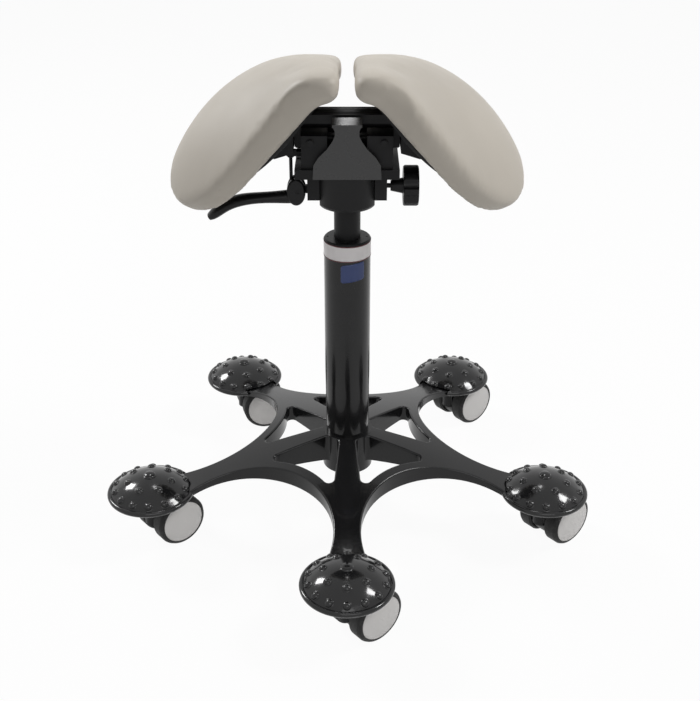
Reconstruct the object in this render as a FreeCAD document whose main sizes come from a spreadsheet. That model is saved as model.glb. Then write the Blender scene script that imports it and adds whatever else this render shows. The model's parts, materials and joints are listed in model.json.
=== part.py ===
import FreeCAD, Part
import math
import os
import Sketcher

from FreeCAD import Placement, Rotation, Vector

# Saddle stool on a five-arm caster base. Millimetres, +Z up, floor at Z = 0, column axis on Z.
# The front of the seat and one arm of the base point along -Y.

os.makedirs("parts", exist_ok=True)
doc = FreeCAD.newDocument("saddle_stool")
sheet = doc.addObject("Spreadsheet::Sheet", "Sizes")
pieces = []


# Sizes

class Size:
    """A length or a count with its value and the expression that gives it from the sheet."""

    def __init__(self, value, text):
        self.value = float(value)
        self.text = text

    def __float__(self):
        return self.value

    def combine(self, other, sign, value):
        text = other.text if isinstance(other, Size) else repr(float(other))
        return Size(value, "(" + self.text + " " + sign + " " + text + ")")

    def __add__(self, other):
        return self.combine(other, "+", self.value + float(other))

    def __sub__(self, other):
        return self.combine(other, "-", self.value - float(other))

    def __mul__(self, other):
        return self.combine(other, "*", self.value * float(other))

    def __truediv__(self, other):
        return self.combine(other, "/", self.value / float(other))

    def __neg__(self):
        return Size(-self.value, "(0 - " + self.text + ")")


def driving(alias, value):
    """Write one driving dimension into the sheet and return it."""
    row = driving.row = getattr(driving, "row", 0) + 1
    sheet.set("A" + str(row), alias)
    sheet.set("B" + str(row), str(value))
    sheet.setAlias("B" + str(row), alias)
    return Size(value, "Sizes." + alias)


# Base star
arm_count = 5
arm_reach = driving("arm_reach", 232)
hub_radius = driving("hub_radius", 28.5)
hub_bottom = driving("hub_bottom", 61)
hub_top = driving("hub_top", 107)
notch_radius = driving("notch_radius", 101)
notch_centre = driving("notch_centre", 196.5)
rim_width = driving("rim_width", 12)
spine_hub_width = driving("spine_hub_width", 20)
spine_rim_width = driving("spine_rim_width", 30)
spine_rim_reach = driving("spine_rim_reach", 98)
window_corner = driving("window_corner", 6)
arm_mid_top = driving("arm_mid_top", 94)
arm_mid_bottom = driving("arm_mid_bottom", 76)
arm_end_top = driving("arm_end_top", 69.3)
arm_end_reach = driving("arm_end_reach", 195)
star_wall = driving("star_wall", 4.5)
star_edge = driving("star_edge", 1.8)
saucer_radius = driving("saucer_radius", 42)
saucer_bottom = driving("saucer_bottom", 62.5)
saucer_thickness = driving("saucer_thickness", 4.5)

# Domed caps on the arm ends
cap_radius = driving("cap_radius", 48.5)
cap_top = driving("cap_top", 88.7)
cap_widest = driving("cap_widest_height", 67.6)
shoulder_radius = driving("cap_shoulder_radius", 44)
shoulder_height = driving("cap_shoulder_height", 70.2)
rim_curl = driving("cap_rim_curl", 3.4)
cap_wall = driving("cap_wall", 2.6)
cap_gap = driving("cap_gap", 0.2)
centre_stud_radius = driving("centre_stud_radius", 5.4)
stud_radius = driving("stud_radius", 3.6)
stud_height = driving("stud_height", 2.9)
inner_ring = driving("inner_ring", 24.8)
outer_ring = driving("outer_ring", 40)
inner_studs = 7
outer_studs = 14

# Casters
wheel_radius = driving("wheel_radius", 29.5)
wheel_width = driving("wheel_width", 18)
wheel_gap = driving("wheel_gap", 19.6)
tread_round = driving("tread_round", 4)
wheel_wall = driving("wheel_wall", 3)
axle_radius = driving("axle_radius", 3)
caster_trail = driving("caster_trail", 22)
stem_radius = driving("stem_radius", 5.5)
stem_collar_radius = driving("stem_collar_radius", 8.5)
disc_radius = driving("disc_radius", 24.8)
disc_depth = driving("disc_depth", 2)
running = driving("running_clearance", 0.05)
side_gap = driving("side_gap", 0.3)

# Column and gas spring
tube_radius = driving("tube_radius", 25)
tube_foot_radius = driving("tube_foot_radius", 23.6)
tube_foot = driving("tube_foot", 58)
tube_taper_top = driving("tube_taper_top", 185)
tube_top = driving("tube_top", 340)
tube_wall = driving("tube_wall", 2.4)
collar_height = driving("collar_height", 6)
spanner_reach = driving("spanner_reach", 20.8)
spanner_radius = driving("spanner_radius", 1.1)
bush_length = driving("bush_length", 70)
cylinder_radius = driving("cylinder_radius", 14)
cylinder_wall = driving("cylinder_wall", 1.6)
cylinder_foot = driving("cylinder_foot", 110)
cylinder_top = driving("cylinder_top", 431)
rod_radius = driving("rod_radius", 5)
rod_neck = driving("rod_neck", 4)
stroke = driving("stroke", 190)
race_radius = driving("race_radius", 14.5)
ball_radius = driving("ball_radius", 2)
ball_count = 12

# Mechanism under the seat
skirt_radius = driving("skirt_radius", 31.5)
skirt_foot = driving("skirt_foot", 384)
deck_bottom = driving("deck_bottom", 421)
deck_thickness = driving("deck_thickness", 10)
deck_half_width = driving("deck_half_width", 53)
deck_front = driving("deck_front", 33)
deck_back = driving("deck_back", 62)
block_inner = driving("block_inner", 20)
block_outer = driving("block_outer", 46)
block_top = driving("block_top", 465)
tab_half_width = driving("tab_half_width", 41)
tab_foot = driving("tab_foot", 392)
pivot_height = driving("pivot_height", 450)
pivot_back = driving("pivot_back", 12)
pivot_radius = driving("pivot_radius", 6)
plate_bottom = driving("plate_bottom", 475)
plate_thickness = driving("plate_thickness", 9)
frame_front = driving("frame_front", -20)
rail_radius = driving("rail_radius", 5)
rail_front = driving("rail_front", -9)
rail_back = driving("rail_back", 36)
rail_back_height = driving("rail_back_height", 466)
rail_half_length = driving("rail_half_length", 74)
knob_height = driving("knob_height", 403)
knob_radius = driving("knob_radius", 21.5)
knob_width = driving("knob_width", 16)
lever_height = driving("lever_height", 399.5)
lever_pivot_x = driving("lever_pivot_x", -51)
link_radius = driving("link_radius", 1.8)
lever_pin_radius = driving("lever_pin_radius", 2.5)
screw_radius = driving("screw_radius", 2.5)
lever_hub_width = driving("lever_hub_half_width", 9.8)
lever_hub_height = driving("lever_hub_half_height", 14.5)
pin_radius = driving("release_pin_radius", 3)

# Seat halves: each half is a strip that bends down from the centre gap to the thigh
seat_gap = driving("seat_gap", 9)
seat_front = driving("seat_front", -106)
seat_back = driving("seat_back", 154)
seat_widest = driving("seat_widest", -8)
strip_width = driving("strip_width", 232)
front_bulge = driving("front_bulge", 1.55)
back_bulge = driving("back_bulge", 1.87)
cushion_thickness = driving("cushion_thickness", 28)
end_round = driving("end_round", 14)
pan_thickness = driving("pan_thickness", 5)
pan_gap = driving("pan_gap", 0.8)
pan_inset = driving("pan_inset", 26)
bracket_gap = driving("bracket_gap", 0.8)
front_shoulder_radius = driving("front_shoulder_radius", 32)
back_shoulder_radius = driving("back_shoulder_radius", 130)
flank_front_radius = driving("flank_front_radius", 390)
flank_back_radius = driving("flank_back_radius", 127)
front_shoulder_turn = driving("front_shoulder_turn", 50.5)
back_shoulder_turn = driving("back_shoulder_turn", 9)
front_flat = driving("front_flat", 19)
crown_bend = driving("crown_bend", 6)
back_flat = driving("back_flat", 40)


# Helpers that make bound objects

def bind(thing, property_name, size):
    if isinstance(size, Size):
        thing.setExpression(property_name, size.text)


def cylinder(name, radius, length, x=0, y=0, z=0, along="Z"):
    """A bound cylinder that starts at x, y, z and runs along the named axis."""
    thing = doc.addObject("Part::Cylinder", name)
    thing.Radius, thing.Height = float(radius), float(length)
    bind(thing, "Radius", radius)
    bind(thing, "Height", length)
    turns = {"Z": Rotation(), "X": Rotation(Vector(0, 1, 0), 90), "Y": Rotation(Vector(1, 0, 0), -90)}
    thing.Placement = Placement(Vector(float(x), float(y), float(z)), turns[along])
    bind_base(thing, x, y, z)
    return thing


def box(name, x_from, x_to, y_from, y_to, z_from, z_to):
    """A bound box between two corners."""
    thing = doc.addObject("Part::Box", name)
    sides = ((x_from, x_to), (y_from, y_to), (z_from, z_to))
    for property_name, (low, high) in zip(("Length", "Width", "Height"), sides):
        length = size_of(high) - low
        setattr(thing, property_name, float(length))
        bind(thing, property_name, length)
    thing.Placement = Placement(Vector(float(x_from), float(y_from), float(z_from)), Rotation())
    bind_base(thing, x_from, y_from, z_from)
    return thing


def size_of(number):
    return number if isinstance(number, Size) else Size(number, repr(float(number)))


def bind_base(thing, x, y, z):
    for letter, number in zip("xyz", (x, y, z)):
        bind(thing, "Placement.Base." + letter, number)


def cut(name, base, *tools):
    result = base
    for index, tool in enumerate(tools):
        step = doc.addObject("Part::Cut", name + "_cut_" + str(index))
        step.Base, step.Tool = result, tool
        result = step
    return result


def fuse(name, *shapes):
    thing = doc.addObject("Part::MultiFuse", name + "_fuse")
    thing.Shapes = list(shapes)
    thing.Refine = True
    return thing


def group(name, *shapes):
    """Separate identical solids kept as one piece."""
    thing = doc.addObject("Part::Compound", name + "_group")
    thing.Links = list(shapes)
    return thing


def origin_plane(body, role):
    return next(item for item in body.Origin.OriginFeatures if item.Role == role)


def outline(body, name, role, corners):
    """A closed sketch of straight lines whose corners are bound to the sheet."""
    sketch = body.newObject("Sketcher::SketchObject", name)
    sketch.AttachmentSupport = [(origin_plane(body, role), "")]
    sketch.MapMode = "FlatFace"
    flat = [Vector(float(a), float(b), 0) for a, b in corners]
    count = len(flat)
    for index in range(count):
        sketch.addGeometry(Part.LineSegment(flat[index], flat[(index + 1) % count]), False)
    for index in range(count):
        link = Sketcher.Constraint("Coincident", index, 2, (index + 1) % count, 1)
        sketch.addConstraint(link)
    for index, corner in enumerate(corners):
        for kind, number in zip(("DistanceX", "DistanceY"), corner):
            held = sketch.addConstraint(Sketcher.Constraint(kind, -1, 1, index, 1, float(number)))
            if isinstance(number, Size):
                sketch.setExpression("Constraints[" + str(held) + "]", number.text)
    return sketch


def turned(name, corners):
    """A body turned about the column direction from radius and height corners."""
    body = doc.addObject("PartDesign::Body", name + "_body")
    sketch = outline(body, name + "_profile", "XZ_Plane", corners)
    turn = body.newObject("PartDesign::Revolution", name + "_turn")
    turn.Profile = sketch
    turn.ReferenceAxis = (sketch, ["V_Axis"])
    turn.Angle = 360
    sketch.Visibility = False
    return body


def sheet_part(name, role, corners, length, offset=0):
    """A body padded from an outline, as thick as length, starting at offset from the plane."""
    body = doc.addObject("PartDesign::Body", name + "_body")
    sketch = outline(body, name + "_profile", role, corners)
    pad = body.newObject("PartDesign::Pad", name + "_pad")
    pad.Profile = sketch
    pad.Length = float(length)
    bind(pad, "Length", size_of(length))
    sketch.AttachmentOffset = Placement(Vector(0, 0, float(offset)), Rotation())
    return body


def formed(name, shape):
    """A feature whose shape is worked out from the sheet's sizes in code."""
    thing = doc.addObject("Part::Feature", name + "_form")
    thing.Shape = shape
    return thing


def piece(label, thing, place=None):
    """Name a finished sub-part and put it where it belongs."""
    if place is not None:
        thing.Placement = place.multiply(thing.Placement)
    thing.Label = label
    pieces.append(thing)
    return thing


def around(angle_degrees, reach=0.0, height=0.0):
    turn = Rotation(Vector(0, 0, 1), angle_degrees)
    return Placement(turn.multVec(Vector(reach, 0, height)), turn)


def arm_angles():
    return [-90 + index * 360 / arm_count for index in range(arm_count)]


# Base star

def star_blank():
    """The star's body of revolution, with an arched top and underside."""
    reach, middle = float(arm_end_reach), float(spine_rim_reach)
    inner = float(hub_radius) - 2
    top = [Vector(inner, 0, float(hub_top)), Vector(middle, 0, float(arm_mid_top)),
           Vector(reach, 0, float(arm_end_top))]
    low = [Vector(reach, 0, float(saucer_bottom)), Vector(middle, 0, float(arm_mid_bottom)),
           Vector(inner, 0, float(arm_mid_bottom) - 3)]
    edges = [Part.Arc(*top).toShape(), Part.LineSegment(top[2], low[0]).toShape(),
             Part.Arc(*low).toShape(), Part.LineSegment(low[2], top[0]).toShape()]
    return Part.Face(Part.Wire(edges)).revolve(Vector(), Vector(0, 0, 1), 360)


def window_wire():
    """One window between two spines, seen from above, with the first arm along +X."""
    half_turn = math.pi / arm_count
    centre = Vector(math.cos(half_turn), math.sin(half_turn), 0) * float(notch_centre)
    rim = float(notch_radius) + float(rim_width)
    corner = float(window_corner)
    near = Vector(float(hub_radius), float(spine_hub_width) / 2, 0)
    far = Vector(float(spine_rim_reach), float(spine_rim_width) / 2, 0)
    along = (far - near).normalize()
    side = Vector(-along.y, along.x, 0)
    start = near + side * corner

    def meet(middle, radius, outward):
        gap = start - middle
        reach = gap.dot(along)
        root = math.sqrt(reach * reach - gap.dot(gap) + radius * radius)
        return start + along * (outward * root - reach)

    hub_corner = meet(Vector(), float(hub_radius) + corner, 1)
    rim_corner = meet(centre, rim + corner, -1)
    on_hub = hub_corner * (float(hub_radius) / hub_corner.Length)
    on_rim = centre + (rim_corner - centre).normalize() * rim

    def mirrored(point):
        double = 2 * half_turn
        return Vector(point.x * math.cos(double) + point.y * math.sin(double),
                      point.x * math.sin(double) - point.y * math.cos(double), 0)

    def rounding(middle, begin, end):
        halfway = (begin - middle).normalize() + (end - middle).normalize()
        return Part.Arc(begin, middle + halfway.normalize() * corner, end).toShape()

    line_start, line_end = hub_corner - side * corner, rim_corner - side * corner
    bisector = Vector(math.cos(half_turn), math.sin(half_turn), 0)
    edges = [rounding(hub_corner, on_hub, line_start),
             Part.LineSegment(line_start, line_end).toShape(),
             rounding(rim_corner, line_end, on_rim),
             Part.Arc(on_rim, centre - bisector * rim, mirrored(on_rim)).toShape(),
             rounding(mirrored(rim_corner), mirrored(on_rim), mirrored(line_end)),
             Part.LineSegment(mirrored(line_end), mirrored(line_start)).toShape(),
             rounding(mirrored(hub_corner), mirrored(line_start), mirrored(on_hub)),
             Part.Arc(mirrored(on_hub), bisector * float(hub_radius), on_hub).toShape()]
    return Part.Wire(edges)


def tube_cone(grow, bottom, top):
    """The tapered foot of the column tube, grown by a clearance, between two heights."""
    slope = (float(tube_radius) - float(tube_foot_radius)) / (float(tube_taper_top) - float(tube_foot))
    low = float(tube_foot_radius) + slope * (bottom - float(tube_foot)) + grow
    high = float(tube_foot_radius) + slope * (top - float(tube_foot)) + grow
    return Part.makeCone(low, high, top - bottom, Vector(0, 0, bottom))


def star_shape():
    star = star_blank()
    depth = float(hub_top) + 10
    window = Part.Face(window_wire()).extrude(Vector(0, 0, depth))
    notch = Part.makeCylinder(float(notch_radius), depth, Vector(float(notch_centre), 0, 0))
    turn_step = 360 / arm_count
    tools = []
    for index in range(arm_count):
        opening = window.copy()
        opening.rotate(Vector(), Vector(0, 0, 1), index * turn_step)
        bay = notch.copy()
        bay.rotate(Vector(), Vector(0, 0, 1), (index + 0.5) * turn_step)
        tools += [opening, bay]
    star = star.cut(tools)
    sharp = [edge for edge in star.Edges if is_top_edge(edge)]
    star = star.makeFillet(float(star_edge), sharp)
    adds = [Part.makeCylinder(float(hub_radius), float(hub_top) - float(hub_bottom),
                              Vector(0, 0, float(hub_bottom)))]
    hollows = []
    for index in range(arm_count):
        turn = index * turn_step
        adds += [placed(arm_end_shape(), turn)]
        hollows += [placed(channel_shape(), turn), placed(socket_shape(), turn)]
    star = star.fuse(adds)
    bore = tube_cone(0.0, float(hub_bottom) - 5, float(hub_top) + 5)
    star = star.cut(hollows + [bore]).removeSplitter()
    star.rotate(Vector(), Vector(0, 0, 1), -90)
    return star


def placed(shape, degrees):
    shape.rotate(Vector(), Vector(0, 0, 1), degrees)
    return shape


def is_top_edge(edge):
    """True for the edges that bound the arched top face outside the hub."""
    box_of = edge.BoundBox
    reach = max(math.hypot(vertex.X, vertex.Y) for vertex in edge.Vertexes)
    if reach < float(hub_radius) + 1 or box_of.ZMin < float(arm_end_top) - 1:
        return False
    flat = box_of.ZLength < 6 or box_of.ZLength < 0.5 * max(box_of.XLength, box_of.YLength)
    return flat and box_of.ZMax > float(arm_end_top) + 1 and not is_bottom(edge)


def is_bottom(edge):
    point = edge.valueAt((edge.FirstParameter + edge.LastParameter) / 2)
    reach = math.hypot(point.x, point.y)
    share = (reach - float(hub_radius)) / (float(arm_end_reach) - float(hub_radius))
    chord = float(hub_top) + (float(arm_end_top) - float(hub_top)) * share
    return point.z < chord - 4


def arm_end_shape():
    """The saucer that carries one cap and one caster stem."""
    bottom, reach = float(saucer_bottom), float(arm_reach)
    saucer = Part.makeCylinder(float(saucer_radius), float(saucer_thickness), Vector(reach, 0, bottom))
    boss = Part.makeCylinder(float(stem_radius) + 5, float(stem_top) + 3 - bottom, Vector(reach, 0, bottom))
    return saucer.fuse(boss)


def socket_shape():
    return Part.makeCylinder(float(stem_radius), float(stem_top) - float(saucer_bottom) + 5,
                             Vector(float(arm_reach), 0, float(saucer_bottom) - 5))


def channel_shape():
    """The hollow under one arm, open downwards, that leaves a top plate and two side walls."""
    wall = float(star_wall)
    start, end = float(hub_radius) + wall, float(arm_end_reach) - wall
    middle = float(spine_rim_reach)
    half = float(spine_hub_width) / 2 - wall
    heights = [(start, float(hub_top) - wall - 3), (middle, float(arm_mid_top) - wall - 0.5),
               (end, float(arm_end_top) - wall - 1.5)]
    corners = [Vector(x, -half, z) for x, z in heights]
    corners += [Vector(end, -half, 40), Vector(start, -half, 40)]
    return Part.Face(Part.makePolygon(corners + corners[:1])).extrude(Vector(0, 2 * half, 0))


stem_top = saucer_bottom + 18
piece("base_star", formed("base_star", star_shape()))


# Domed caps with round studs on the arm ends

def dome_radius():
    """Radius of the sphere whose cap runs from the top down to the shoulder."""
    rise, reach = float(cap_top - shoulder_height), float(shoulder_radius)
    return (reach * reach + rise * rise) / (2 * rise)


def dome_height(reach):
    """Height of the dome's top face at a distance from its centre."""
    ball = dome_radius()
    return float(cap_top) - ball + math.sqrt(ball * ball - reach * reach)


def stud(x, y, radius, height):
    """A round stud, a ball's cap on a hollow-sided foot, that stands square on the dome at x, y."""
    sunk = -float(cap_wall) / 2
    flare = radius * 0.4
    rise = height - flare
    ball = (radius * radius + rise * rise) / (2 * rise)
    throat, crown = Vector(radius, 0, flare), Vector(0, 0, height)
    low, lip = Vector(radius + flare, 0, sunk), Vector(radius + flare, 0, 0)
    inset = flare * (1 - math.sqrt(0.5))
    half_lean = math.asin(radius / ball) / 2
    crown_middle = Vector(ball * math.sin(half_lean), 0, height - ball * (1 - math.cos(half_lean)))
    edges = [Part.LineSegment(Vector(0, 0, sunk), low).toShape(),
             Part.LineSegment(low, lip).toShape(),
             Part.Arc(lip, Vector(radius + inset, 0, inset), throat).toShape(),
             Part.Arc(throat, crown_middle, crown).toShape(),
             Part.LineSegment(crown, Vector(0, 0, sunk)).toShape()]
    solid = Part.Face(Part.Wire(edges)).revolve(Vector(), Vector(0, 0, 1), 360)
    base = dome_height(math.hypot(x, y))
    normal = Vector(x, y, base - float(cap_top) + dome_radius())
    solid.Placement = Placement(Vector(x, y, base), Rotation(Vector(0, 0, 1), normal))
    return solid


def cap_shape():
    """One cap about its own centre: a domed shell whose rim curls under."""
    top, wall = float(cap_top), float(cap_wall)
    shoulder = Vector(float(shoulder_radius), 0, float(shoulder_height))
    widest = Vector(float(cap_radius), 0, float(cap_widest))
    rim = Vector(float(cap_radius - rim_curl), 0, float(cap_widest - rim_curl))
    inner = float(saucer_radius + cap_gap)
    ball = dome_radius()
    under_ball = math.sqrt((ball - wall) ** 2 - inner ** 2) + top - ball
    edge_reach = float(cap_widest - shoulder_height)
    overhang = float(cap_radius - shoulder_radius)
    edge_round = (overhang ** 2 + edge_reach ** 2) / (2 * overhang)
    lean = math.asin(-edge_reach / edge_round) / 2
    edge_middle = Vector(widest.x - edge_round * (1 - math.cos(lean)), 0,
                         widest.z + edge_round * math.sin(lean))
    curl = float(rim_curl) * math.sqrt(0.5)
    curl_middle = Vector(rim.x + curl, 0, widest.z - curl)
    crown_middle = Vector(shoulder.x / 2, 0, dome_height(shoulder.x / 2))
    under_middle = Vector(inner / 2, 0, math.sqrt((ball - wall) ** 2 - inner ** 2 / 4) + top - ball)
    inner_rim, inner_top = Vector(inner, 0, rim.z), Vector(inner, 0, under_ball)
    crown, under_crown = Vector(0, 0, top), Vector(0, 0, top - wall)
    edges = [Part.Arc(crown, crown_middle, shoulder).toShape(),
             Part.Arc(shoulder, edge_middle, widest).toShape(),
             Part.Arc(widest, curl_middle, rim).toShape(),
             Part.LineSegment(rim, inner_rim).toShape(),
             Part.LineSegment(inner_rim, inner_top).toShape(),
             Part.Arc(inner_top, under_middle, under_crown).toShape(),
             Part.LineSegment(under_crown, crown).toShape()]
    shell = Part.Face(Part.Wire(edges)).revolve(Vector(), Vector(0, 0, 1), 360)
    studs = [stud(0, 0, float(centre_stud_radius), float(stud_height) * 1.2)]
    for ring, count, offset in ((inner_ring, inner_studs, 0.5), (outer_ring, outer_studs, 0)):
        for index in range(count):
            turn = math.pi + (index + offset) * 2 * math.pi / count
            studs.append(stud(float(ring) * math.cos(turn), float(ring) * math.sin(turn),
                              float(stud_radius), float(stud_height)))
    return shell.fuse(studs)


def cap_with_notch():
    """The cap moved to the first arm's end and cut clear of the arm and its saucer."""
    cap = cap_shape()
    cap.translate(Vector(float(arm_reach), 0, 0))
    gap = float(cap_gap)
    reach = float(arm_reach)
    neck_end = float(arm_end_reach) + gap
    half = float(notch_centre) * math.sin(math.pi / arm_count)
    along = float(notch_centre) * math.cos(math.pi / arm_count)
    width = half - math.sqrt(float(notch_radius) ** 2 - (neck_end - along) ** 2) + gap
    arm = Part.makeBox(60, 2 * width, 40, Vector(neck_end - 60, -width, float(arm_end_top) - 38))
    tip = Part.makeBox(60, 2 * width, 1, Vector(neck_end - 60, -width, float(arm_end_top) + 1.8))
    boss = Part.makeCylinder(float(stem_radius) + 5 + gap, float(stem_top) + 3 + gap - 40,
                             Vector(reach, 0, 40))
    saucer = Part.makeCylinder(float(saucer_radius) + gap, float(saucer_thickness) + gap + 20,
                               Vector(reach, 0, float(saucer_bottom) - 20))
    cap = cap.cut([arm.fuse(tip), boss, saucer])
    return max(cap.Solids, key=lambda solid: solid.Volume)


cap_master = cap_with_notch()
caps = []
for angle in arm_angles():
    turned_cap = cap_master.copy()
    turned_cap.rotate(Vector(), Vector(0, 0, 1), angle)
    caps.append(turned_cap)
piece("arm_end_caps", formed("arm_end_caps", Part.makeCompound(caps)))


# Caster stems, fixed in the arm ends

stem_foot = wheel_radius + 8
stem_collar_bottom = saucer_bottom - 1.5
stem_solids = []
for angle in arm_angles():
    spot = around(angle, float(arm_reach))
    stem = turned("caster_stem", [
        (0, stem_foot), (stem_radius, stem_foot), (stem_radius, stem_collar_bottom),
        (stem_collar_radius, stem_collar_bottom), (stem_collar_radius, saucer_bottom),
        (stem_radius, saucer_bottom), (stem_radius, stem_top), (0, stem_top)])
    stem.Placement = spot
    stem_solids.append(stem)
piece("caster_stems", group("caster_stems", *stem_solids))


# Twin-wheel casters, each in its own frame with the stem on Z and the axle along Y

housing_half = wheel_gap / 2 - side_gap
housing_top = stem_collar_bottom - 0.3


def caster_housing(name):
    """The web between the wheels with the stem boss at its front."""
    web = cylinder(name + "_web", wheel_radius - 4, housing_half * 2, x=caster_trail, z=wheel_radius,
                   along="Y")
    web.Placement.Base.y = -float(housing_half)
    bind(web, "Placement.Base.y", -housing_half)
    neck = box(name + "_neck", -stem_radius, caster_trail, -housing_half, housing_half,
               wheel_radius, housing_top)
    boss = cylinder(name + "_boss", housing_half, housing_top - wheel_radius + 4, z=wheel_radius - 4)
    bore = cylinder(name + "_bore", stem_radius + running, housing_top - stem_foot + 11,
                    z=stem_foot - 1)
    axle_bore = cylinder(name + "_axle_bore", axle_radius, housing_half * 2 + 2, x=caster_trail,
                         z=wheel_radius, along="Y")
    axle_bore.Placement.Base.y = -float(housing_half) - 1
    bind(axle_bore, "Placement.Base.y", -housing_half - 1)
    return cut(name, fuse(name, web, neck, boss), bore, axle_bore)


def caster_axle(name):
    half = wheel_gap / 2 + wheel_width - wheel_wall
    axle = cylinder(name + "_part", axle_radius, half * 2, x=caster_trail, z=wheel_radius, along="Y")
    axle.Placement.Base.y = -float(half)
    bind(axle, "Placement.Base.y", -half)
    return group(name, axle)


def caster_wheel(name):
    """One wheel turned about Z from its inner face at zero to its outer face."""
    hub = axle_radius + 3.5
    rim = wheel_radius - 5
    outer = wheel_width - disc_depth
    wheel = turned(name, [
        (axle_radius + running, 0), (hub, 0), (hub, outer - wheel_wall * 2), (rim, outer - wheel_wall * 2),
        (rim, 1), (wheel_radius - 2, 0), (wheel_radius, tread_round / 2),
        (wheel_radius, wheel_width - tread_round), (wheel_radius - 1.2, wheel_width - tread_round / 2.5),
        (wheel_radius - 3.6, wheel_width), (disc_radius, wheel_width), (disc_radius, outer),
        (hub, outer), (hub, outer - 1), (axle_radius + running, outer - 1)])
    return wheel


def caster_disc(name):
    """The pale cover disc pressed into the outer face, slightly domed."""
    outer = wheel_width - disc_depth
    return turned(name, [
        (0, outer), (disc_radius, outer), (disc_radius, outer + disc_depth * 0.8),
        (disc_radius - 1.5, outer + disc_depth), (disc_radius * 0.5, outer + disc_depth + 0.6),
        (0, outer + disc_depth + 0.8)])


# Rest directions of the casters as seen in the photo, measured from +X
caster_turns = {"front": 40, "right": 40, "right_rear": 40, "left_rear": 18, "left": 40}
caster_order = ["front", "right", "right_rear", "left_rear", "left"]

for spot_name, angle in zip(caster_order, arm_angles()):
    stem_spot = around(angle, float(arm_reach))
    turn = Rotation(Vector(0, 0, 1), caster_turns[spot_name])
    frame = Placement(stem_spot.Base, turn)
    name = "caster_" + spot_name
    piece(name + "_housing", caster_housing(name + "_housing"), frame)
    piece(name + "_axle", caster_axle(name + "_axle"), frame)
    for side, roll in (("a", 90), ("b", -90)):
        inner = -float(wheel_gap) / 2 if side == "a" else float(wheel_gap) / 2
        lay = Placement(Vector(float(caster_trail), inner, float(wheel_radius)),
                        Rotation(Vector(1, 0, 0), roll))
        piece(name + "_wheel_" + side, caster_wheel(name + "_wheel_" + side), frame.multiply(lay))
        piece(name + "_disc_" + side, caster_disc(name + "_disc_" + side), frame.multiply(lay))


# Column tube, guide bushing and the gas spring inside

bore_radius = tube_radius - tube_wall
foot_bore = tube_foot_radius - tube_wall
floor_top = tube_foot + 3
piece("column_tube", turned("column_tube", [
    (rod_neck + running, tube_foot), (tube_foot_radius, tube_foot), (tube_radius, tube_taper_top),
    (tube_radius, tube_top), (bore_radius, tube_top), (bore_radius, tube_taper_top),
    (foot_bore, floor_top), (rod_neck + running, floor_top)]))
spanner_holes = []
for x, y in ((spanner_reach, 0), (-spanner_reach, 0), (0, spanner_reach), (0, -spanner_reach)):
    spanner_holes.append(cylinder("spanner_hole", spanner_radius, 5, x=x, y=y, z=tube_top + collar_height - 4))
piece("guide_bushing", cut("guide_bushing", turned("guide_bushing", [
    (cylinder_radius + running, tube_top - bush_length), (bore_radius, tube_top - bush_length),
    (bore_radius, tube_top), (tube_radius - 0.2, tube_top),
    (tube_radius - 0.2, tube_top + collar_height - 1), (tube_radius - 1.2, tube_top + collar_height),
    (cylinder_radius + running, tube_top + collar_height)]), *spanner_holes))
race_thickness = ball_radius
lower_race_top = floor_top + race_thickness
upper_race_bottom = lower_race_top + ball_radius * 2
piece("lower_race", turned("lower_race", [
    (rod_radius + running, floor_top), (race_radius, floor_top), (race_radius, lower_race_top),
    (rod_radius + running, lower_race_top)]))
ball_ring = (race_radius + rod_radius) / 2
balls = []
for index in range(ball_count):
    turn = index * 2 * math.pi / ball_count
    balls.append(Part.makeSphere(float(ball_radius - running), Vector(
        float(ball_ring) * math.cos(turn), float(ball_ring) * math.sin(turn),
        float(lower_race_top + ball_radius))))
piece("bearing_balls", formed("bearing_balls", Part.makeCompound(balls)))
upper_race_top = upper_race_bottom + race_thickness
piece("upper_race", turned("upper_race", [
    (rod_radius, upper_race_bottom), (race_radius, upper_race_bottom),
    (race_radius, upper_race_top), (rod_radius, upper_race_top)]))
piston_bottom = cylinder_foot + 15 + stroke
cylinder_bore = cylinder_radius - cylinder_wall
clip_bottom = tube_foot - 3
piece("piston_rod", turned("piston_rod", [
    (0, clip_bottom - 1), (rod_neck - 1, clip_bottom - 1), (rod_neck - 1, tube_foot - 1),
    (rod_neck, tube_foot - 1), (rod_neck, floor_top + running), (rod_radius, floor_top + running),
    (rod_radius, piston_bottom), (cylinder_bore - running, piston_bottom),
    (cylinder_bore - running, piston_bottom + 12), (0, piston_bottom + 12)]))
piece("rod_clip", turned("rod_clip", [
    (rod_neck - 1, clip_bottom), (rod_radius + 2, clip_bottom), (rod_radius + 2, clip_bottom + 1.2),
    (rod_neck - 1, clip_bottom + 1.2)]))
taper_foot = skirt_foot + 2
piece("gas_cylinder", turned("gas_cylinder", [
    (rod_radius + running, cylinder_foot), (cylinder_radius - 1, cylinder_foot),
    (cylinder_radius, cylinder_foot + 1), (cylinder_radius, taper_foot),
    (cylinder_radius - 0.8, cylinder_top), (pin_radius + running, cylinder_top),
    (pin_radius + running, cylinder_top - 8), (cylinder_bore, cylinder_top - 8),
    (cylinder_bore, cylinder_foot + 15), (rod_radius + running, cylinder_foot + 15)]))
pin_top = cylinder_top + 5
piece("release_pin", turned("release_pin", [
    (0, cylinder_top - 12), (pin_radius, cylinder_top - 12), (pin_radius, pin_top - 1),
    (pin_radius - 1, pin_top), (0, pin_top)]))


# Mechanism: housing, skirt, front cover, lever, knob

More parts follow.
